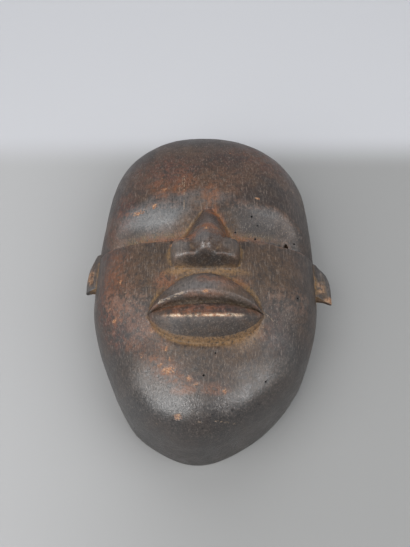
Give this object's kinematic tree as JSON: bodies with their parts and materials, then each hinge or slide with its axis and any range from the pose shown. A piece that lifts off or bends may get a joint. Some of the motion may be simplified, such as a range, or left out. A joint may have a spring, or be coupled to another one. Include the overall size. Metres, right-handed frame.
{
  "type": "carved wooden face mask",
  "caption": "Carved wooden face mask with a domed forehead, a ledge across the closed eyes, a block nose, full lips, low ears and a hollow back.",
  "frame": {"origin": "middle of the bounding box on the plane that the rim rests on", "axes": "+Z out of the face, +Y from the chin to the crown, +X to the right as seen from in front of the face"},
  "size_m": [0.1809, 0.262, 0.1022],
  "materials": {
    "wood": "dark brown hand-rubbed patina, satin to half gloss, with worn reddish patches and ochre dust in the recesses"
  },
  "bodies": {
    "root": {"mask": "wood"}
  },
  "joints": []
}
